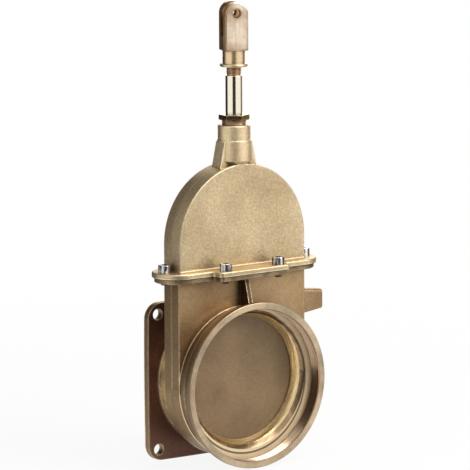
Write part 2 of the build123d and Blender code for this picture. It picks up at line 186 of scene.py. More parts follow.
def editAll(piece):
    alone(piece)
    bpy.ops.object.mode_set(mode="EDIT")
    bpy.ops.mesh.select_all(action="SELECT")


def startPicking(piece, kind):
    alone(piece)
    bpy.ops.object.mode_set(mode="EDIT")
    bpy.ops.mesh.select_mode(type=kind)
    bpy.ops.mesh.select_all(action="DESELECT")
    bpy.ops.object.mode_set(mode="OBJECT")


def editFaces(piece, wanted):
    # edit mode with only the faces that a test of centre and normal picks
    startPicking(piece, "FACE")
    for face in piece.data.polygons:
        face.select = wanted(face.center, face.normal)
    bpy.ops.object.mode_set(mode="EDIT")


def editEdges(piece, wanted):
    # edit mode with only the edges whose two ends pass a test
    startPicking(piece, "EDGE")
    points = piece.data.vertices
    for edge in piece.data.edges:
        edge.select = wanted(points[edge.vertices[0]].co, points[edge.vertices[1]].co)
    bpy.ops.object.mode_set(mode="EDIT")


def bevelEdges(piece, wanted, width, steps):
    editEdges(piece, wanted)
    bpy.ops.mesh.bevel(offset=width, offset_type="OFFSET", segments=steps, profile=0.5, affect="EDGES")
    bpy.ops.object.mode_set(mode="OBJECT")


def pushOut(direction):
    bpy.ops.mesh.extrude_region_move(TRANSFORM_OT_translate={"value": direction})


def closeEnds():
    # edit mode: caps on the open ends, then every normal outwards
    bpy.ops.mesh.select_all(action="SELECT")
    bpy.ops.mesh.fill_holes(sides=20)
    bpy.ops.mesh.select_all(action="SELECT")
    bpy.ops.mesh.normals_make_consistent(inside=False)
    bpy.ops.object.mode_set(mode="OBJECT")


def finishWith(piece, kind, **settings):
    alone(piece)
    modifier = piece.modifiers.new(kind.title(), kind)
    for key, value in settings.items():
        setattr(modifier, key, value)
    bpy.ops.object.modifier_apply(modifier=modifier.name)


def carve(piece, tool, how="DIFFERENCE"):
    finishWith(piece, "BOOLEAN", object=tool, operation=how, solver="EXACT")
    bpy.data.objects.remove(tool)


def joined(pieces):
    alone(pieces[0])
    for piece in pieces:
        piece.select_set(True)
    bpy.ops.object.join()
    return bpy.context.active_object


def moved(piece, shift, turn=(0, 0, 0)):
    alone(piece)
    piece.rotation_euler = turn
    piece.location = shift
    bpy.ops.object.transform_apply(location=True, rotation=True, scale=True)
    return piece


towardsOutlet = (pi / 2, 0, 0)


def facedOutwards(piece):
    # from a piece built up +Z to one whose top looks out of the outlet
    return moved(piece, (0, 0, 0), towardsOutlet)


def threadRidge(radius, depth, pitch, low, high, steps=96):
    # one helix about Z, closed at both ends; its diamond section is centred on the radius
    startPrimitive()
    bpy.ops.mesh.primitive_circle_add(
        vertices=4, radius=1, fill_type="NGON", rotation=(pi / 2, 0, 0), location=(radius, 0, low + pitch / 2))
    bpy.context.active_object.scale = (depth, pitch * 0.48, 1)
    ridge = added()
    turns = max(1, round((high - low - pitch) / pitch))
    editFaces(ridge, lambda centre, normal: True)
    bpy.ops.mesh.delete(type="ONLY_FACE")
    bpy.ops.object.mode_set(mode="OBJECT")
    finishWith(ridge, "SCREW", axis="Z", angle=2 * pi, screw_offset=pitch, iterations=turns,
               steps=steps, render_steps=steps, use_smooth_shade=False)
    editAll(ridge)
    closeEnds()
    return ridge


def evenNormals(piece, smoothAngle):
    # a corner's normal is the mean, by area, of the faces round its point that lean less than the angle
    mesh = piece.data
    near = cos(radians(smoothAngle))
    facing = [face.normal.copy() for face in mesh.polygons]
    area = [face.area for face in mesh.polygons]
    around = [[] for point in mesh.vertices]
    for face in mesh.polygons:
        for point in face.vertices:
            around[point].append(face.index)
    normals = [None] * len(mesh.loops)
    for face in mesh.polygons:
        own = facing[face.index]
        for corner, point in zip(face.loop_indices, face.vertices):
            mean = Vector()
            for other in around[point]:
                if facing[other].dot(own) > near:
                    mean += facing[other] * area[other]
            normals[corner] = mean.normalized() if mean.length > 0 else own
    mesh.normals_split_custom_set(normals)


def settle(piece, name, body, finishes, smoothAngle=35):
    # last step of every piece: name, shading, finishes and body
    alone(piece)
    piece.name = name
    piece.data.name = name
    bpy.ops.object.shade_smooth()
    evenNormals(piece, smoothAngle)
    piece.data.materials.clear()
    for finish in finishes:
        piece.data.materials.append(finish)
    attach(piece, body)
    return piece


def paintFaces(piece, finishAt):
    # finishAt picks one of the piece's finishes by a face's centre and normal
    numbers = {finish.name: number for number, finish in enumerate(piece.data.materials)}
    for face in piece.data.polygons:
        face.material_index = numbers[finishAt(face.center, face.normal).name]


# shader helpers

def feed(tree, socket, value):
    # a link or a constant; a colour gets its alpha here
    if isinstance(value, bpy.types.NodeSocket):
        tree.links.new(value, socket)
    elif socket.type == "RGBA":
        socket.default_value = (*value, 1)
    else:
        socket.default_value = value


def put(tree, kind, inputs=None, **settings):
    node = tree.nodes.new(kind)
    for key, value in settings.items():
        setattr(node, key, value)
    for key, value in (inputs or {}).items():
        feed(tree, node.inputs[key], value)
    return node


def mixColours(tree, factor, first, second, blend="MIX"):
    mix = put(tree, "ShaderNodeMix", data_type="RGBA", blend_type=blend)
    for number, value in ((0, factor), (6, first), (7, second)):
        feed(tree, mix.inputs[number], value)
    return mix.outputs[2]


def reckon(tree, how, first, second=0.0):
    return put(tree, "ShaderNodeMath", {0: first, 1: second}, operation=how).outputs[0]


def spread(tree, value, low, high, toLow, toHigh):
    return put(tree, "ShaderNodeMapRange", {"Value": value, "From Min": low, "From Max": high,
                                            "To Min": toLow, "To Max": toHigh}).outputs[0]


def noise(tree, place, scale, detail=2.0, roughness=0.5):
    return put(tree, "ShaderNodeTexNoise", {"Vector": place, "Scale": scale, "Detail": detail,
                                            "Roughness": roughness}).outputs["Fac"]


def noiseAlong(tree, place, scale, detail):
    return put(tree, "ShaderNodeTexNoise", {"W": place, "Scale": scale, "Detail": detail},
               noise_dimensions="1D").outputs["Fac"]


def newGroup(name, inputs, outputs):
    tree = bpy.data.node_groups.new(name, "ShaderNodeTree")
    kinds = {"value": "NodeSocketFloat", "colour": "NodeSocketColor", "vector": "NodeSocketVector"}
    for label, kind in inputs:
        tree.interface.new_socket(name=label, in_out="INPUT", socket_type=kinds[kind])
    for label, kind in outputs:
        tree.interface.new_socket(name=label, in_out="OUTPUT", socket_type=kinds[kind])
    return tree, tree.nodes.new("NodeGroupInput").outputs, tree.nodes.new("NodeGroupOutput").inputs


# shared shader groups

def makeCastGrain():
    # blasted sand casting: cloudy tones, sand grain and a few pits
    tree, given, wanted = newGroup(
        "castGrain",
        [("Vector", "vector"), ("Light Tone", "colour"), ("Dark Tone", "colour"), ("Grain Size", "value"),
         ("Cloud Size", "value")],
        [("Color", "colour"), ("Roughness", "value"), ("Height", "value")])
    place = given["Vector"]
    clouds = noise(tree, place, given["Cloud Size"], 3.0, 0.5)
    grains = noise(tree, place, given["Grain Size"], 3.0, 0.65)
    coarse = reckon(tree, "MULTIPLY", given["Grain Size"], 0.42)
    lumps = noise(tree, place, coarse)
    pits = put(tree, "ShaderNodeTexVoronoi", {"Vector": place, "Scale": coarse, "Randomness": 1.0},
               feature="F1").outputs["Distance"]
    pitMask = reckon(tree, "MULTIPLY", spread(tree, pits, 0.05, 0.16, 1.0, 0.0),
                     spread(tree, lumps, 0.58, 0.66, 0.0, 1.0))
    tone = mixColours(tree, spread(tree, clouds, 0.36, 0.64, 0.0, 1.0), given["Light Tone"], given["Dark Tone"])
    shade = spread(tree, grains, 0.3, 0.7, 0.72, 1.24)
    shade = reckon(tree, "MULTIPLY", shade, spread(tree, lumps, 0.3, 0.7, 0.9, 1.1))
    shade = reckon(tree, "MULTIPLY", shade, spread(tree, pitMask, 0.0, 1.0, 1.0, 0.6))
    grey = put(tree, "ShaderNodeCombineColor", {"Red": shade, "Green": shade, "Blue": shade}).outputs[0]
    feed(tree, wanted["Color"], mixColours(tree, 1.0, tone, grey, "MULTIPLY"))
    feed(tree, wanted["Roughness"], spread(tree, grains, 0.3, 0.7, 0.36, 0.52))
    height = reckon(tree, "ADD", grains, reckon(tree, "MULTIPLY", lumps, 0.8))
    height = reckon(tree, "SUBTRACT", height, reckon(tree, "MULTIPLY", pitMask, 0.7))
    feed(tree, wanted["Height"], height)
    return tree


def makeTurnedLines():
    # fine uneven rings about the mapped Z axis, on faces and on barrels
    tree, given, wanted = newGroup(
        "turnedLines", [("Vector", "vector"), ("Pitch", "value")], [("Lines", "value"), ("Sheen", "value")])
    parts = put(tree, "ShaderNodeSeparateXYZ", {0: given["Vector"]}).outputs
    across = reckon(tree, "ADD", reckon(tree, "POWER", parts[0], 2.0), reckon(tree, "POWER", parts[1], 2.0))
    reach = reckon(tree, "ADD", reckon(tree, "SQRT", across), parts[2])
    place = reckon(tree, "DIVIDE", reach, given["Pitch"])
    feed(tree, wanted["Lines"], noiseAlong(tree, place, 1.0, 2.0))
    feed(tree, wanted["Sheen"], noiseAlong(tree, place, 0.16, 1.0))
    return tree


def makeEdgeWear():
    # bright rubbed edges, wear and painted highlight together, found where little metal lies behind the surface
    tree, given, wanted = newGroup(
        "edgeWearHighlight", [("Vector", "vector"), ("Depth", "value"), ("Amount", "value")], [("Mask", "value")])
    chips = noise(tree, given["Vector"], 230.0, 4.0, 0.65)
    edge = spread(tree, given["Depth"], 0.52, 0.96, 1.0, 0.0)
    edge = reckon(tree, "MULTIPLY", edge, spread(tree, chips, 0.32, 0.6, 0.35, 1.25))
    edge = reckon(tree, "MULTIPLY", edge, given["Amount"])
    feed(tree, wanted["Mask"], reckon(tree, "MINIMUM", edge, 1.0))
    return tree


def makeCornerGrime():
    # dirt and painted shade: darker where the open angle over a point is small, broken up by noise
    tree, given, wanted = newGroup(
        "cornerGrimeShade", [("Vector", "vector"), ("Openness", "value"), ("Amount", "value")], [("Mask", "value")])
    patches = noise(tree, given["Vector"], 120.0, 4.0, 0.7)
    closed = spread(tree, given["Openness"], 0.3, 0.92, 1.0, 0.0)
    closed = reckon(tree, "MULTIPLY", closed, spread(tree, patches, 0.3, 0.7, 0.7, 1.3))
    closed = reckon(tree, "MULTIPLY", closed, given["Amount"])
    feed(tree, wanted["Mask"], reckon(tree, "MINIMUM", closed, 1.0))
    return tree


castGrain = makeCastGrain()
turnedLines = makeTurnedLines()
edgeWearHighlight = makeEdgeWear()
cornerGrimeShade = makeCornerGrime()


# kinds of finish

texture = {"castBump": 0.0004, "fineBump": 0.0002, "turnedRound": 0.0003, "turnedEdge": 0.0015, "turnedGrimeShade": 0.004,
           "forkEdge": 0.0028, "samples": 6}


def newFinish(name):
    finish = bpy.data.materials.new(name)
    finish.use_nodes = True
    tree = finish.node_tree
    return finish, tree, tree.nodes["Principled BSDF"]


def useGroup(tree, group, inputs):
    return put(tree, "ShaderNodeGroup", inputs, node_tree=group).outputs


def objectPlace(tree, shift=(0, 0, 0), turn=(0, 0, 0), scale=(1, 1, 1)):
    coordinates = put(tree, "ShaderNodeTexCoord").outputs["Object"]
    return put(tree, "ShaderNodeMapping", {"Vector": coordinates, "Location": shift, "Rotation": turn,
                                           "Scale": scale}).outputs[0]


def closeness(tree, reach, inside=False):
    return put(tree, "ShaderNodeAmbientOcclusion", {"Distance": reach}, samples=texture["samples"],
               inside=inside).outputs["AO"]


def rubbed(tree, place, reach, amount):
    return useGroup(tree, edgeWearHighlight, {"Vector": place, "Depth": closeness(tree, reach, True),
                                     "Amount": amount})["Mask"]


def soiled(tree, place, reach, amount):
    return useGroup(tree, cornerGrimeShade, {"Vector": place, "Openness": closeness(tree, reach),
                                        "Amount": amount})["Mask"]


def roundedNormal(tree, radius, samples):
    return put(tree, "ShaderNodeBevel", {"Radius": radius}, samples=samples).outputs[0]


def dress(tree, shader, tone, roughness, metallic, lift):
    feed(tree, shader.inputs["Base Color"], tone)
    feed(tree, shader.inputs["Roughness"], roughness)
    feed(tree, shader.inputs["Metallic"], metallic)
    feed(tree, shader.inputs["Normal"], put(tree, "ShaderNodeBump", lift).outputs[0])


def castFinish(name, light, dark, wornHighlight, metallic, grain=900.0, cloud=16.0, bump=0.35, wearHighlight=0.9,
               edgeRound=0.0005, edgeDepth=0.0016, grimeShade=0.6, grimeShadeTone=(0.07, 0.042, 0.022),
               grimeShadeReach=0.009, leftPaintedShade=0.0):
    finish, tree, shader = newFinish(name)
    place = objectPlace(tree)
    cast = useGroup(tree, castGrain, {"Vector": place, "Light Tone": light, "Dark Tone": dark,
                                      "Grain Size": grain, "Cloud Size": cloud})
    # wear and painted highlight on the edges
    wearHighlightMask = rubbed(tree, place, edgeDepth, wearHighlight)
    # dirt and painted shade: darker in corners, recesses and between parts
    tone = mixColours(tree, soiled(tree, place, grimeShadeReach, grimeShade), cast["Color"], grimeShadeTone)
    if leftPaintedShade:
        # painted shade: faces that look left are mixed towards the dark tone, browner and darker
        facing = put(tree, "ShaderNodeTexCoord").outputs["Normal"]
        sideways = put(tree, "ShaderNodeSeparateXYZ", {0: facing}).outputs[0]
        tone = mixColours(tree, spread(tree, sideways, -0.95, -0.2, leftPaintedShade, 0.0), tone, grimeShadeTone)
    dress(tree, shader, mixColours(tree, wearHighlightMask, tone, wornHighlight),
          reckon(tree, "SUBTRACT", cast["Roughness"], reckon(tree, "MULTIPLY", wearHighlightMask, 0.2)), metallic,
          {"Height": cast["Height"], "Normal": roundedNormal(tree, edgeRound, texture["samples"]),
           "Strength": bump, "Distance": texture["castBump"]})
    return finish


def turnedFinish(name, light, dark, roughness, pitch, shift=(0, 0, 0), turn=(0, 0, 0), metallic=0.9, bump=0.12,
                 wearHighlight=0.5, wornHighlight=(0.95, 0.85, 0.62), grimeShade=0.7, grimeShadeTone=(0.06, 0.035, 0.02), darkRing=None,
                 tarnish=0.0):
    finish, tree, shader = newFinish(name)
    place = objectPlace(tree)
    rings = useGroup(tree, turnedLines, {"Vector": objectPlace(tree, shift, turn), "Pitch": pitch})
    tone = mixColours(tree, spread(tree, rings["Lines"], 0.3, 0.7, 0.0, 1.0), light, dark)
    patches = noise(tree, place, 26.0, 4.0, 0.6)
    tone = mixColours(tree, spread(tree, patches, 0.38, 0.66, 0.0, tarnish), tone, grimeShadeTone)
    # dirt and painted shade: darker in corners, recesses and between parts
    tone = mixColours(tree, soiled(tree, place, texture["turnedGrimeShade"], grimeShade), tone, grimeShadeTone)
    if darkRing:
        # a darker ring of this radius and half width about the outlet's axis
        radius, halfWidth = darkRing
        flat = put(tree, "ShaderNodeVectorMath", {0: place, 1: (1, 0, 1)}, operation="MULTIPLY").outputs[0]
        reach = put(tree, "ShaderNodeVectorMath", {0: flat}, operation="LENGTH").outputs["Value"]
        away = reckon(tree, "ABSOLUTE", reckon(tree, "SUBTRACT", reach, radius))
        tone = mixColours(tree, spread(tree, away, halfWidth * 0.6, halfWidth, 0.85, 0.0), tone, grimeShadeTone)
    # wear and painted highlight on the edges
    dress(tree, shader, mixColours(tree, rubbed(tree, place, texture["turnedEdge"], wearHighlight), tone, wornHighlight),
          spread(tree, rings["Sheen"], 0.3, 0.7, roughness * 0.75, roughness * 1.3), metallic,
          {"Height": rings["Lines"], "Normal": roundedNormal(tree, texture["turnedRound"], 4),
           "Strength": bump, "Distance": texture["fineBump"]})
    return finish


def plainFinish(name, light, dark, roughness, size, metallic=0.0, bump=0.15, stretch=(1, 1, 1), crisp=0.2):
    # one noise, which stretch can draw out into brushing
    finish, tree, shader = newFinish(name)
    grains = noise(tree, objectPlace(tree, scale=stretch), size, 4.0, 0.6)
    dress(tree, shader,
          mixColours(tree, spread(tree, grains, 0.5 - crisp, 0.5 + crisp, 0.0, 1.0), light, dark),
          spread(tree, grains, 0.3, 0.7, roughness * 0.8, roughness * 1.2), metallic,
          {"Height": grains, "Strength": bump, "Distance": texture["fineBump"]})
    return finish


def forkFinish(name, light, dark, browned, roughness, metallic=1.0):
    # brushed along the stem, browned in soft patches and towards its edges
    finish, tree, shader = newFinish(name)
    place = objectPlace(tree)
    lines = noise(tree, objectPlace(tree, scale=(1, 1, 0.06)), 320.0, 4.0, 0.6)
    patches = noise(tree, place, 45.0, 3.0)
    tone = mixColours(tree, spread(tree, lines, 0.3, 0.7, 0.0, 1.0), light, dark)
    tone = mixColours(tree, spread(tree, patches, 0.42, 0.68, 0.0, 0.75), tone, browned)
    dress(tree, shader, mixColours(tree, rubbed(tree, place, texture["forkEdge"], 1.1), tone, browned),
          spread(tree, lines, 0.3, 0.7, roughness * 0.8, roughness * 1.25), metallic,
          {"Height": lines, "Strength": 0.12, "Distance": texture["fineBump"]})
    return finish


# finishes: light tone, dark tone, then the tone of rubbed edges on castings, which is wear and painted highlight
# together

stemShift = (0, -midDepth, 0)
portShift = (0, -portRise, 0)

bonnetBrass = castFinish("bonnetBrass", (0.66, 0.52, 0.32), (0.5, 0.38, 0.22), (1.0, 0.9, 0.66), 0.9)
# painted light: the bonnet's neck is a lighter copy of the bonnet's brass
neckLitBrass = castFinish("neckLitBrass", (0.82, 0.66, 0.42), (0.64, 0.49, 0.29), (1.0, 0.9, 0.66), 0.9,
                       grain=1100.0, wearHighlight=1.1)
bodyBrass = castFinish("bodyBrass", (0.43, 0.29, 0.153), (0.31, 0.2, 0.103), (1.0, 0.82, 0.5), 0.93,
                       leftPaintedShade=0.42)
roundBrass = castFinish("roundBrass", (0.43, 0.29, 0.153), (0.31, 0.2, 0.103), (0.6, 0.46, 0.28), 0.93,
                        wearHighlight=0.15, leftPaintedShade=0.3)
# painted shade: the parting lines are darker copies of the castings' brass, so that they catch no highlight
seamShadeBrass = castFinish("seamShadeBrass", (0.3, 0.23, 0.13), (0.22, 0.16, 0.09), (0.5, 0.38, 0.22), 0.8, wearHighlight=0.1)
bodySeamShadeBrass = castFinish("bodySeamShadeBrass", (0.2, 0.13, 0.07), (0.15, 0.1, 0.05), (0.4, 0.3, 0.16), 0.8,
                           wearHighlight=0.1)
# painted shade: the rim's outer band is a darker copy of the body's brass
bandShadeBrass = castFinish("bandShadeBrass", (0.34, 0.228, 0.118), (0.25, 0.162, 0.083), (0.6, 0.46, 0.28), 0.9,
                       wearHighlight=0.1, grimeShade=0.3, leftPaintedShade=0.3)
# painted shade: the gusset is a near-black copy of the cast brass
gussetShadeBrass = castFinish("gussetShadeBrass", (0.13, 0.08, 0.042), (0.08, 0.046, 0.025), (1.0, 0.8, 0.5), 0.85,
                         wearHighlight=1.2, edgeDepth=0.0009)
# painted light: the rear neck's outside is a lighter, less metallic copy of the cast brass
rearNeckLitBrass = castFinish("rearNeckLitBrass", (0.8, 0.58, 0.28), (0.4, 0.27, 0.12), (1.0, 0.84, 0.5), 0.2,
                           grain=420.0, cloud=60.0, bump=1.0, grimeShade=0.2)
jointBrass = castFinish("jointBrass", (0.42, 0.3, 0.165), (0.2, 0.13, 0.07), (1.0, 0.85, 0.56), 0.9,
                        cloud=70.0, wearHighlight=1.1, edgeDepth=0.0006, grimeShade=0.8)
rootHighlightBrass = castFinish("rootHighlightBrass", (0.7, 0.54, 0.32), (0.5, 0.37, 0.2), (0.85, 0.68, 0.42), 0.85,
                       cloud=40.0, wearHighlight=0.4, grimeShade=0.2)
# painted shade: the square flange's front face is a near-black copy of the cast brass
flangeShadeBrass = castFinish("flangeShadeBrass", (0.2, 0.1, 0.066), (0.13, 0.06, 0.042), (0.6, 0.46, 0.3), 0.7, wearHighlight=0.7)
# painted shade: the wide reach of the corner darkening darkens the gate near the bore's walls, in place of the rim's
# shadow
gateBrass = castFinish("gateBrass", (0.277, 0.182, 0.093), (0.208, 0.135, 0.067), (0.5, 0.36, 0.2), 0.35,
                       grain=1100.0, cloud=22.0, bump=0.2, wearHighlight=0.0, grimeShade=0.5, grimeShadeReach=0.035)

funnelBrass = turnedFinish("funnelBrass", (0.86, 0.68, 0.38), (0.7, 0.52, 0.25), 0.24, 0.0006, portShift,
                           towardsOutlet)
stepBrass = turnedFinish("stepBrass", (0.42, 0.29, 0.165), (0.28, 0.18, 0.1), 0.22, 0.0006, portShift,
                         towardsOutlet, darkRing=(0.0746, 0.0013))
# painted highlight: the thread's shoulder is a bright, barely metallic copy of the turned brass
shoulderLitBrass = turnedFinish("shoulderLitBrass", (1.0, 0.82, 0.52), (0.86, 0.66, 0.4), 0.3, 0.0009,
                             turn=towardsOutlet, metallic=0.15, bump=0.3, wearHighlight=0.0, grimeShade=0.3,
                             darkRing=(0.0746, 0.0013), tarnish=0.1)
rimBrass = turnedFinish("rimBrass", (0.72, 0.55, 0.35), (0.5, 0.37, 0.23), 0.28, 0.00035,
                        turn=towardsOutlet, bump=0.5, wearHighlight=0.12, tarnish=0.6)
facedBrass = turnedFinish("facedBrass", (0.66, 0.52, 0.34), (0.56, 0.43, 0.27), 0.3, 0.0005,
                          turn=towardsOutlet, bump=0.08, wearHighlight=0.3, tarnish=0.3)
threadBrass = turnedFinish("threadBrass", (0.6, 0.43, 0.29), (0.42, 0.29, 0.19), 0.19, 0.0005,
                           turn=towardsOutlet, metallic=1.0, bump=0.05, wearHighlight=0.0, grimeShade=0.3, tarnish=0.15)
glandBrass = turnedFinish("glandBrass", (0.72, 0.5, 0.29), (0.46, 0.3, 0.16), 0.2, 0.0002, stemShift,
                          metallic=1.0, bump=0.04, wearHighlight=1.3, wornHighlight=(1.0, 0.88, 0.64))
ringBrass = turnedFinish("ringBrass", (0.72, 0.56, 0.37), (0.5, 0.36, 0.22), 0.3, 0.0003, stemShift,
                         bump=0.06, wearHighlight=0.6)
collarBrass = turnedFinish("collarBrass", (0.84, 0.64, 0.4), (0.7, 0.5, 0.3), 0.3, 0.0001, stemShift,
                           metallic=1.0, bump=0.02)
rodBrass = turnedFinish("rodBrass", (0.93, 0.87, 0.72), (0.9, 0.82, 0.65), 0.07, 0.0012, stemShift,
                        metallic=1.0, bump=0.0, wearHighlight=0.0)
rodThreadBrass = turnedFinish("rodThreadBrass", (0.66, 0.4, 0.22), (0.42, 0.23, 0.12), 0.34, 0.0004,
                              stemShift, wearHighlight=0.2)

clevisBrass = forkFinish("clevisBrass", (0.96, 0.84, 0.67), (0.74, 0.58, 0.42), (0.34, 0.2, 0.1), 0.22)
# painted light and shade: the front ear's left faces get a brighter, less metallic copy of the fork's brass, the
# other left faces a near-black one
earSideLitBrass = forkFinish("earSideLitBrass", (0.66, 0.44, 0.18), (0.42, 0.26, 0.1), (0.3, 0.17, 0.07), 0.5, 0.5)
forkSideShadeBrass = forkFinish("forkSideShadeBrass", (0.2, 0.12, 0.06), (0.1, 0.055, 0.028), (0.12, 0.06, 0.03), 0.5, 0.5)

# brushing with painted reflection: streaks drawn out along the screw in near-white and near-black
reflectionStreakSteel = plainFinish("reflectionStreakSteel", (0.95, 0.95, 0.97), (0.05, 0.045, 0.05), 0.14, 420.0,
                          metallic=1.0, bump=0.05, stretch=(1, 1, 0.1), crisp=0.08)
# painted shade: the screws' ends under the joint flange are near-black
shadeDarkSteel = plainFinish("shadeDarkSteel", (0.06, 0.045, 0.035), (0.03, 0.022, 0.018), 0.6, 500.0, metallic=0.2)
pinSteel = plainFinish("pinSteel", (0.6, 0.6, 0.62), (0.42, 0.42, 0.44), 0.35, 500.0, metallic=1.0)
sealRubber = plainFinish("sealRubber", (0.03, 0.03, 0.03), (0.018, 0.018, 0.018), 0.6, 400.0)
gasketFibre = plainFinish("gasketFibre", (0.06, 0.045, 0.03), (0.03, 0.022, 0.015), 0.8, 600.0)
packingBraid = plainFinish("packingBraid", (0.3, 0.28, 0.24), (0.16, 0.15, 0.13), 0.8, 900.0)
print("finishes made")


# castings: merged copies of the CAD solids with a finish for each machined face

def dressedCopy(node):
    alone(nodes[node])
    bpy.ops.object.duplicate()
    piece = bpy.context.active_object
    del piece["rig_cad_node"]
    del piece["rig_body"]
    editAll(piece)
    bpy.ops.mesh.remove_doubles(threshold=0.000001)
    bpy.ops.object.mode_set(mode="OBJECT")
    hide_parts(node)
    return piece


outletMount = mounts["outlet_thread"]
outlet = {
    "boreRadius": outletMount["dims"]["r_mm"] * 0.001,
    "high": outletMount["pos_m"][1] + outletMount["dims"]["length_mm"] * 0.0005,
    "pitch": 0.00231,
    "threadDepth": 0.00145,
    "threadSteps": 144,
    "reliefDepth": 0.0015,
    "reliefWidth": 0.0018,
    "reliefLand": 0.0002,
    "reliefSides": 192,
}

# where on the body casting each finish lies
bodyZones = {
    "rimSkin": 0.0002, "bandDepth": 0.0046, "bandRadius": 0.0855,
    "boreMargin": 0.0016, "shoulderSkin": 0.0003, "stepDepth": 0.0038, "funnelDepth": 0.0125,
    "flangeFront": -0.008, "flangeSkin": 0.0012,
    "gussetHalfThick": 0.0027, "gussetBack": -0.0602, "gussetLow": 0.0815,
    "neckFront": -0.034, "neckBack": -0.0085, "neckInner": 0.0675, "neckOuter": 0.0762,
    "roundFront": -0.062, "roundBack": -0.032, "roundRadius": 0.0805,
    "jointSkin": 0.0006,
}


def bodyFinishAt(centre, normal):
    zones = bodyZones
    reach = hypot(centre.x, centre.z)
    depth = centre.y - outlet["high"]
    portReach = hypot(centre.x, centre.z - portRise)
    onBand = centre.y < rimY + zones["bandDepth"] and reach > zones["bandRadius"]
    if centre.y < rimY + zones["rimSkin"] or onBand:
        return rimBrass
    if reach < outlet["boreRadius"] + zones["boreMargin"]:
        if depth < -zones["shoulderSkin"]:
            return threadBrass
        if depth < zones["shoulderSkin"]:
            return shoulderLitBrass
        if depth < zones["stepDepth"] and normal.y < -0.05:
            return stepBrass
        if depth < zones["funnelDepth"] and normal.y < -0.05:
            return funnelBrass
    # painted shade on the square flange's front face
    if normal.y < -0.5 and abs(centre.y - zones["flangeFront"]) < zones["flangeSkin"]:
        return flangeShadeBrass
    if centre.y > -slack and normal.y > 0.9:
        return facedBrass
    # painted shade on the gusset
    onGusset = abs(centre.x) < zones["gussetHalfThick"] and centre.y < zones["gussetBack"]
    if onGusset and centre.z > zones["gussetLow"]:
        return gussetShadeBrass
    onNeck = zones["neckFront"] < centre.y < zones["neckBack"]
    if onNeck and zones["neckInner"] < portReach < zones["neckOuter"]:
        # the neck's outside, not the bore in it, has the painted light
        outwards = normal.x * centre.x + normal.z * (centre.z - portRise)
        return rearNeckLitBrass if outwards > 0 else bodyBrass
    onRound = zones["roundFront"] < centre.y < zones["roundBack"] and reach > zones["roundRadius"]
    if centre.z < 0 and onRound:
        # nothing rubs the edges of the housing's round end
        return roundBrass
    if centre.z > bodyTop - zones["jointSkin"]:
        return jointBrass
    return bodyBrass


def cutThread(piece):
    # the turned relief in front of the shoulder, then the V groove of the pipe thread
    shoulder = -outlet["high"] + outlet["reliefLand"]
    relief = drum(outlet["boreRadius"] + outlet["reliefDepth"], shoulder, shoulder + outlet["reliefWidth"],
                  sides=outlet["reliefSides"])
    carve(piece, facedOutwards(relief))
    groove = threadRidge(outlet["boreRadius"], outlet["threadDepth"], outlet["pitch"],
                         shoulder + outlet["reliefWidth"] / 2, -rimY + outlet["pitch"], outlet["threadSteps"])
    carve(piece, facedOutwards(groove))


bodyPiece = dressedCopy("body_casting")
cutThread(bodyPiece)
settle(bodyPiece, "bodyCasting", "valve_body",
       [bodyBrass, rimBrass, threadBrass, funnelBrass, flangeShadeBrass, shoulderLitBrass, stepBrass, gussetShadeBrass,
        rearNeckLitBrass, roundBrass, jointBrass, facedBrass])
paintFaces(bodyPiece, bodyFinishAt)

bonnet = {"neckTall": 0.041}
bonnetPiece = dressedCopy("bonnet_casting")
settle(bonnetPiece, "bonnetCasting", "valve_body", [bonnetBrass, neckLitBrass])
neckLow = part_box("bonnet_casting")[1].z - bonnet["neckTall"]
paintFaces(bonnetPiece, lambda centre, normal: neckLitBrass if centre.z > neckLow else bonnetBrass)
print("castings dressed")


# parting line that the mould leaves round both castings at mid depth

fin = {"height": 0.00025, "sink": 0.0003, "steps": 128, "sides": 8,
       "bonnetRadius": 0.0812, "bonnetCentre": 0.1513, "bodyRadius": 0.082, "bodyCentre": 0.0,
       "pocketGap": 0.0145, "cutDepth": 0.002, "cutHeight": 0.004}


def partingFin(name, radius, centreZ, endZ, finish, gap=0.0):
    # half ring round the casting's round end, drawn on straight to the joint flange;
    # the gap at its crown leaves the stem's pocket free
    piece = hoop(radius - fin["sink"], fin["height"] + fin["sink"], (0, midDepth, centreZ), fin["steps"],
                 fin["sides"])
    towardsRound = 1 if centreZ > endZ else -1
    editAll(piece)
    bpy.ops.mesh.bisect(plane_co=(0, midDepth, centreZ), plane_no=(0, 0, towardsRound),
                        clear_inner=True, clear_outer=False)
    bpy.ops.object.mode_set(mode="OBJECT")
    editEdges(piece, lambda one, two: abs(one.z - centreZ) < hair and abs(two.z - centreZ) < hair)
    pushOut((0, 0, endZ - centreZ))
    closeEnds()
    if gap:
        crown = Vector((0, midDepth, centreZ + radius))
        reach = Vector((gap, fin["cutDepth"], fin["cutHeight"]))
        carve(piece, block(crown - reach, crown + reach))
    return settle(piece, name, "valve_body", [finish], 60)


partingFin("bonnetPartingLine", fin["bonnetRadius"], fin["bonnetCentre"], jointTop, seamShadeBrass,
           fin["pocketGap"])
partingFin("bodyPartingLine", fin["bodyRadius"], fin["bodyCentre"], bodyTop, bodySeamShadeBrass)
print("parting lines made")


# turned rim of the outlet, finer than the CAD mesh

outletRim = {"radius": 0.08805, "back": 0.0042, "proud": 0.00005, "edge": 0.0007, "leadIn": 0.0013,
             "sides": 288, "lip": 0.0014, "pocket": 0.0836, "bandSkin": 0.0003}


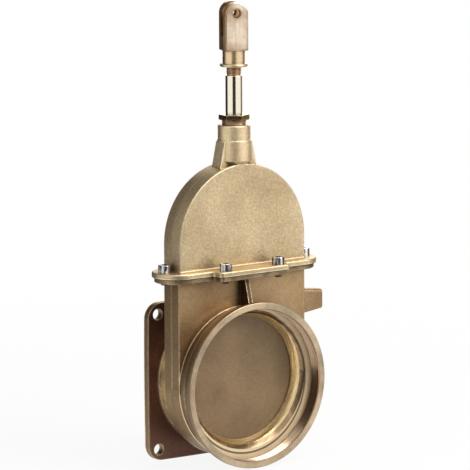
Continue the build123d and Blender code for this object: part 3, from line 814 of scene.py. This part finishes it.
def makeOutletRim():
    sides = outletRim["sides"]
    top = -rimY + outletRim["proud"]
    bore = outlet["boreRadius"] - outletRim["proud"]
    ring = drum(outletRim["radius"], top - outletRim["back"], top, sides=sides)
    bevelEdges(ring, lambda one, two: min(one.z, two.z) > top - hair, outletRim["edge"], 3)
    carve(ring, drum(bore, top - farRunOut, top + farRunOut, sides=sides))
    bevelEdges(ring, lambda one, two: min(one.z, two.z) > top - hair
               and max(hypot(one.x, one.y), hypot(two.x, two.y)) < bore + slack, outletRim["leadIn"], 2)
    # pocket from behind, so that the ring is a lip over the casting's own bore
    carve(ring, drum(outletRim["pocket"], top - farRunOut, top - outletRim["lip"], sides=sides))
    return facedOutwards(ring)


def rimFinishAt(centre, normal):
    reach = hypot(centre.x, centre.z)
    if normal.y < -0.99:
        return rimBrass
    if reach > outletRim["radius"] - outletRim["bandSkin"]:
        return bandShadeBrass
    if reach < outlet["boreRadius"] + outletRim["leadIn"]:
        return threadBrass
    return rimBrass


rimPiece = makeOutletRim()
settle(rimPiece, "outletRim", "valve_body", [rimBrass, bandShadeBrass, threadBrass], 40)
paintFaces(rimPiece, rimFinishAt)


# small ring at the root of the outlet's socket, in lighter brass as a painted highlight

rootRing = {"radius": 0.0817, "thick": 0.0006, "place": -0.0600, "low": -0.004, "steps": 192, "sides": 12}
rootPiece = hoop(rootRing["radius"], rootRing["thick"], (0, rootRing["place"], 0), rootRing["steps"],
                 rootRing["sides"])
editAll(rootPiece)
bpy.ops.mesh.bisect(plane_co=(0, 0, rootRing["low"]), plane_no=(0, 0, 1), clear_inner=True, clear_outer=False)
closeEnds()
settle(rootPiece, "socketRoot", "valve_body", [rootHighlightBrass], 60)
print("rim and root ring made")


# stem rod: polished barrel, plain tail in the gate, thread for ring and fork

rod = {"threadRadius": 0.008, "threadDepth": 0.0007, "threadPitch": 0.0015, "threadShow": 0.009,
       "threadStart": 0.0008, "tailRadius": 0.006, "edge": 0.0006, "edgeSkin": 0.0002, "sides": 128}
rodRadius = (rodHigh.x - rodLow.x) / 2
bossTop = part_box("gate_plate")[1].z
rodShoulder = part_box("lock_ring")[0].z - rod["threadShow"]
coreRadius = rod["threadRadius"] - rod["threadDepth"]


def atShoulder(point):
    return hypot(point.x, point.y - midDepth) > rodRadius - rod["edgeSkin"] and abs(point.z - rodShoulder) < slack


barrel = drum(rodRadius, bossTop, rodShoulder, (0, midDepth), rod["sides"])
editFaces(barrel, lambda centre, normal: normal.z < -0.9)
bpy.ops.mesh.inset(thickness=rodRadius - rod["tailRadius"])
pushOut((0, 0, rodLow.z - bossTop))
editFaces(barrel, lambda centre, normal: normal.z > 0.9 and centre.z > rodShoulder - slack)
bpy.ops.mesh.inset(thickness=rodRadius - coreRadius)
pushOut((0, 0, rodHigh.z - rodShoulder))
bevelEdges(barrel, lambda one, two: atShoulder(one) and atShoulder(two), rod["edge"], 3)
rodThread = threadRidge(coreRadius, rod["threadDepth"], rod["threadPitch"], rodShoulder + rod["threadStart"],
                        rodHigh.z)
moved(rodThread, (0, midDepth, 0))
settle(barrel, "stemRod", "gate_and_stem", [rodBrass, rodThreadBrass], 40)
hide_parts("stem_rod")
paintFaces(barrel, lambda centre, normal: rodThreadBrass if centre.z > rodShoulder + slack else rodBrass)
settle(rodThread, "stemRodThread", "gate_and_stem", [rodThreadBrass])
print("rod made")


# gland nut

gland = {"acrossFlats": 0.028, "headThick": 0.0056, "footRadius": 0.013, "bore": 0.00906, "turn": -6,
         "edge": 0.0012, "threadDepth": 0.0006, "threadPitch": 0.0015, "threadEnd": 0.0006}
glandLow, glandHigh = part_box("gland_nut")
glandSeat = glandHigh.z - gland["headThick"]
glandCorner = gland["acrossFlats"] / sqrt(3)
glandCore = gland["footRadius"] - gland["threadDepth"]
hexHead = drum(glandCorner, glandSeat, glandHigh.z, (0, midDepth), 6, radians(gland["turn"]))
envelope = drum(glandCorner + slack, glandSeat, glandHigh.z, (0, midDepth))
bevelEdges(envelope, lambda one, two: abs(one.z - two.z) < hair, gland["edge"], 4)
carve(hexHead, envelope, "INTERSECT")
carve(hexHead, drum(glandCore, glandLow.z, glandSeat + runOut, (0, midDepth)), "UNION")
carve(hexHead, drum(gland["bore"], glandLow.z - runOut, glandHigh.z + runOut, (0, midDepth)))
glandThread = threadRidge(glandCore, gland["threadDepth"], gland["threadPitch"], glandLow.z,
                          glandSeat - gland["threadEnd"])
moved(glandThread, (0, midDepth, 0))
settle(hexHead, "glandNut", "valve_body", [glandBrass, rodThreadBrass], 30)
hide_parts("gland_nut")
paintFaces(hexHead, lambda centre, normal: rodThreadBrass if centre.z < glandSeat - slack else glandBrass)
settle(glandThread, "glandNutThread", "valve_body", [rodThreadBrass])
print("gland nut made")


# joint screws: knurled socket heads, one modelled and copied to six places

screw = {"count": 6, "headRadius": 0.0065, "headHeight": 0.008, "shankRadius": 0.004, "acrossSocket": 0.006,
         "socketDepth": 0.004, "socketRunOut": 0.002, "knurl": 0.00022, "knurlSkin": 0.0003, "knurlEnd": 1.4,
         "rim": 0.0007, "threadDepth": 0.0005, "threadPitch": 0.00125, "threadLength": 0.006,
         "threadSteps": 48, "shankSides": 64, "turnStep": 0.7}
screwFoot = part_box("joint_screw_1")[0].z - jointTop


def makeScrew():
    # stands on its head's seat at the origin
    core = screw["shankRadius"] - screw["threadDepth"]
    head = drum(screw["headRadius"], 0, screw["headHeight"])
    bevelEdges(head, lambda one, two: min(one.z, two.z) > screw["headHeight"] - slack, screw["rim"], 3)
    knurlTop = screw["headHeight"] - screw["rim"] * screw["knurlEnd"]
    for point in head.data.vertices:
        reach = hypot(point.co.x, point.co.y)
        if point.index % 2 and point.co.z < knurlTop and reach > screw["headRadius"] - screw["knurlSkin"]:
            point.co.x *= 1 - screw["knurl"] / reach
            point.co.y *= 1 - screw["knurl"] / reach
    carve(head, drum(core, screwFoot, runOut, sides=screw["shankSides"]), "UNION")
    carve(head, drum(screw["acrossSocket"] / sqrt(3), screw["headHeight"] - screw["socketDepth"],
                     screw["headHeight"] + screw["socketRunOut"], sides=6))
    thread = threadRidge(core, screw["threadDepth"], screw["threadPitch"], screwFoot,
                         screwFoot + screw["threadLength"], screw["threadSteps"])
    return joined([head, thread])


firstScrew = makeScrew()
for number in range(1, screw["count"] + 1):
    node = "joint_screw_" + str(number)
    low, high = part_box(node)
    alone(firstScrew)
    bpy.ops.object.duplicate()
    copy = bpy.context.active_object
    moved(copy, ((low.x + high.x) / 2, (low.y + high.y) / 2, jointTop), (0, 0, screw["turnStep"] * number))
    settle(copy, "jointScrew" + str(number), "valve_body", [reflectionStreakSteel, shadeDarkSteel], 30)
    # painted shade below the joint flange, painted reflection streaks on the heads
    paintFaces(copy, lambda centre, normal: shadeDarkSteel if centre.z < jointTop else reflectionStreakSteel)
    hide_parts(node)
bpy.data.objects.remove(firstScrew)
print("screws made")


# lock ring

lockRing = {"edge": 0.0012, "bore": 0.00806, "sides": 128}
ringLow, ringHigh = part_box("lock_ring")
ringPiece = drum((ringHigh.x - ringLow.x) / 2, ringLow.z, ringHigh.z, (0, midDepth), lockRing["sides"])
bevelEdges(ringPiece, lambda one, two: abs(one.z - two.z) < hair, lockRing["edge"], 5)
carve(ringPiece, drum(lockRing["bore"], ringLow.z - runOut, ringHigh.z + runOut, (0, midDepth)))
settle(ringPiece, "lockRing", "gate_and_stem", [ringBrass], 40)
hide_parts("lock_ring")
print("lock ring made")


# fork end

fork = {"side": 0.025, "turn": -19, "collarRadius": 0.0118, "collarHeight": 0.0138, "roundHeight": 0.0384,
        "slotWidth": 0.0095, "slotDepth": 0.0235, "edge": 0.0016, "footEdge": 0.0022, "softEdge": 0.0003,
        "bore": 0.00806, "boreDepth": 0.012, "fineSides": 96, "holeSides": 64}
forkLow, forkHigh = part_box("clevis")
eyeZ = mounts["fork_eye"]["pos_m"][2]
eyeRadius = mounts["fork_eye"]["dims"]["r_mm"] * 0.001
blockLow = forkLow.z + fork["collarHeight"]
roundZ = blockLow + fork["roundHeight"]
halfSide = fork["side"] / 2
halfSlot = fork["slotWidth"] / 2


def makeFork():
    stock = block((-halfSide, -halfSide, blockLow), (halfSide, halfSide, forkHigh.z))
    # round top: the block keeps what lies in a cross bar with a wider block under it
    dome = crossBar(halfSide, fork["side"] * 2, roundZ, fork["fineSides"])
    lower = block((-halfSide * 1.2, -halfSide * 2, blockLow - farRunOut), (halfSide * 1.2, halfSide * 2, roundZ))
    carve(dome, lower, "UNION")
    carve(stock, dome, "INTERSECT")
    editAll(stock)
    bpy.ops.mesh.dissolve_limited(angle_limit=radians(0.5))
    bpy.ops.mesh.select_all(action="SELECT")
    # an edge down the sides, for the front ear's own finish
    bpy.ops.mesh.bisect(plane_co=(0, -halfSlot, 0), plane_no=(0, 1, 0))
    bpy.ops.object.mode_set(mode="OBJECT")
    bevelEdges(stock, lambda one, two: abs(one.y) > halfSide - hair and abs(one.y - two.y) < hair
               and max(one.z, two.z) > blockLow + hair, fork["edge"], 5)
    # the foot is turned down to the block's corners
    turned = drum(halfSide * sqrt(2), blockLow, forkHigh.z + farRunOut, sides=fork["fineSides"])
    bevelEdges(turned, lambda one, two: max(one.z, two.z) < blockLow + slack, fork["footEdge"], 5)
    carve(stock, turned, "INTERSECT")
    carve(stock, block((-fork["side"], -halfSlot, eyeZ - fork["slotDepth"]),
                       (fork["side"], halfSlot, forkHigh.z + farRunOut)))
    carve(stock, crossBar(eyeRadius, fork["side"] * 2, eyeZ, fork["holeSides"]))
    carve(stock, drum(fork["collarRadius"], forkLow.z, blockLow + runOut, sides=fork["fineSides"]), "UNION")
    carve(stock, drum(fork["bore"], forkLow.z - runOut, forkLow.z + fork["boreDepth"], sides=fork["holeSides"]))
    finishWith(stock, "BEVEL", width=fork["softEdge"], segments=2, limit_method="ANGLE",
               angle_limit=radians(50), use_clamp_overlap=True)
    return moved(stock, (0, midDepth, 0), (0, 0, radians(fork["turn"])))


forkLeft = wayTo(fork["turn"] - 90, 0)
forkFront = wayTo(fork["turn"], 0)


def forkFinishAt(centre, normal):
    forward = (centre - Vector((0, midDepth, 0))).dot(forkFront)
    if centre.z < blockLow - slack:
        return collarBrass
    # painted light and shade on the faces that look left
    if normal.dot(forkLeft) > 0.5:
        return earSideLitBrass if forward > halfSlot else forkSideShadeBrass
    return clevisBrass


forkPiece = makeFork()
settle(forkPiece, "forkEnd", "gate_and_stem",
       [clevisBrass, collarBrass, earSideLitBrass, forkSideShadeBrass], 30)
paintFaces(forkPiece, forkFinishAt)
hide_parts("clevis")
print("fork made")


# finishes of the CAD solids that show as they are

plainNodes = {
    "gate_plate": gateBrass,
    "joint_gasket": gasketFibre,
    "port_seal_front": sealRubber,
    "port_seal_rear": sealRubber,
    "stem_pin": pinSteel,
    "packing_ring_1": packingBraid,
    "packing_ring_2": packingBraid,
    "packing_ring_3": packingBraid,
}
for node, finish in plainNodes.items():
    nodes[node].data.materials.clear()
    nodes[node].data.materials.append(finish)


# studio: pale floor, white surroundings, soft lamps, and dark screens that only the metal's shine shows

studio = {
    "heart": (0, midDepth, 0.15),
    "floorSize": 12,
    "floorGap": 0.0006,
    "floorTone": (0.86, 0.86, 0.86),
    "floorGlow": (0.9, 1.0),
    "glowReach": (0.3, 1.1),
    "surroundings": 0.45,
    "lamps": [
        # name, azimuth, elevation, distance, width, height, watts
        ("keyRight", 28, 36, 1.5, 1.0, 1.0, 16),
        ("fillLeft", -80, 22, 1.5, 0.7, 1.1, 0.8),
        ("topSoft", 25, 66, 1.6, 0.9, 0.9, 5),
        ("backSoft", 128, 24, 1.6, 1.0, 1.0, 5),
    ],
    "screens": [
        # name, from azimuth, to azimuth, top elevation, distance, tone
        ("darkScreenBehind", 168, 232, 82, 0.62, (0.03, 0.024, 0.02)),
        ("tanScreenRight", 66, 112, 82, 0.62, (0.33, 0.26, 0.16)),
        ("darkScreenFront", -54, -12, 20, 0.7, (0.05, 0.042, 0.026)),
        ("darkCardOutlet", -45, 12, 3, 0.36, (0.03, 0.024, 0.02)),
    ],
}


def seenDirectly(tree):
    # 1 for what the camera sees, straight, mirrored or through glass
    path = put(tree, "ShaderNodeLightPath").outputs
    seen = reckon(tree, "MAXIMUM", path["Is Camera Ray"], path["Is Glossy Ray"])
    return reckon(tree, "MAXIMUM", seen, path["Is Transmission Ray"])


def makeFloor():
    startPrimitive()
    bpy.ops.mesh.primitive_plane_add(size=studio["floorSize"], location=(0, 0, cadBox[0].z - studio["floorGap"]))
    floor = bpy.context.active_object
    floor.name = "floor"
    finish, tree, shader = newFinish("paleFloor")
    feed(tree, shader.inputs["Base Color"], studio["floorTone"])
    feed(tree, shader.inputs["Roughness"], 0.9)
    glow = put(tree, "ShaderNodeEmission", {"Color": (1, 1, 1), "Strength": 1.0}).outputs[0]
    away = put(tree, "ShaderNodeVectorMath", {0: objectPlace(tree)}, operation="LENGTH").outputs["Value"]
    share = spread(tree, away, *studio["glowReach"], *studio["floorGlow"])
    mix = put(tree, "ShaderNodeMixShader", {0: reckon(tree, "MULTIPLY", seenDirectly(tree), share),
                                            1: shader.outputs[0], 2: glow}).outputs[0]
    feed(tree, tree.nodes["Material Output"].inputs["Surface"], mix)
    floor.data.materials.append(finish)


def makeLamps():
    for name, azimuth, elevation, distance, width, height, watts in studio["lamps"]:
        way = wayTo(azimuth, elevation)
        startPrimitive()
        bpy.ops.object.light_add(type="AREA", location=Vector(studio["heart"]) + way * distance)
        lamp = bpy.context.active_object
        lamp.name = name
        lamp.data.shape = "RECTANGLE"
        lamp.data.size = width
        lamp.data.size_y = height
        lamp.data.energy = watts
        lamp.rotation_mode = "QUATERNION"
        lamp.rotation_quaternion = way.to_track_quat("Z", "Y")


def makeScreens():
    # curved screens, spheres cut down to their span of azimuth and elevation
    heart = Vector(studio["heart"])
    for name, start, end, top, distance, tone in studio["screens"]:
        finish, tree, shader = newFinish(name)
        feed(tree, shader.inputs["Base Color"], tone)
        feed(tree, shader.inputs["Roughness"], 1.0)
        startPrimitive()
        bpy.ops.mesh.primitive_uv_sphere_add(segments=180, ring_count=60, radius=distance, location=heart)
        screen = added()

        def beyond(centre, normal):
            way = centre - heart
            azimuth = degrees(atan2(way.x, -way.y))
            return (azimuth - start) % 360 > end - start or way.z > distance * sin(radians(top))

        editFaces(screen, beyond)
        bpy.ops.mesh.delete(type="FACE")
        bpy.ops.object.mode_set(mode="OBJECT")
        screen.name = name
        screen.data.materials.append(finish)
        screen.visible_camera = False
        screen.visible_shadow = False
        screen.visible_diffuse = False


def makeWorld():
    world = bpy.context.scene.world or bpy.data.worlds.new("surroundings")
    bpy.context.scene.world = world
    world.use_nodes = True
    tree = world.node_tree
    tree.nodes.clear()
    strength = spread(tree, seenDirectly(tree), 0.0, 1.0, studio["surroundings"], 1.0)
    sky = put(tree, "ShaderNodeBackground", {"Color": (1, 1, 1), "Strength": strength}).outputs[0]
    put(tree, "ShaderNodeOutputWorld", {"Surface": sky})


makeFloor()
makeLamps()
makeScreens()
makeWorld()
bpy.context.scene.view_settings.view_transform = "Standard"
print("studio set")
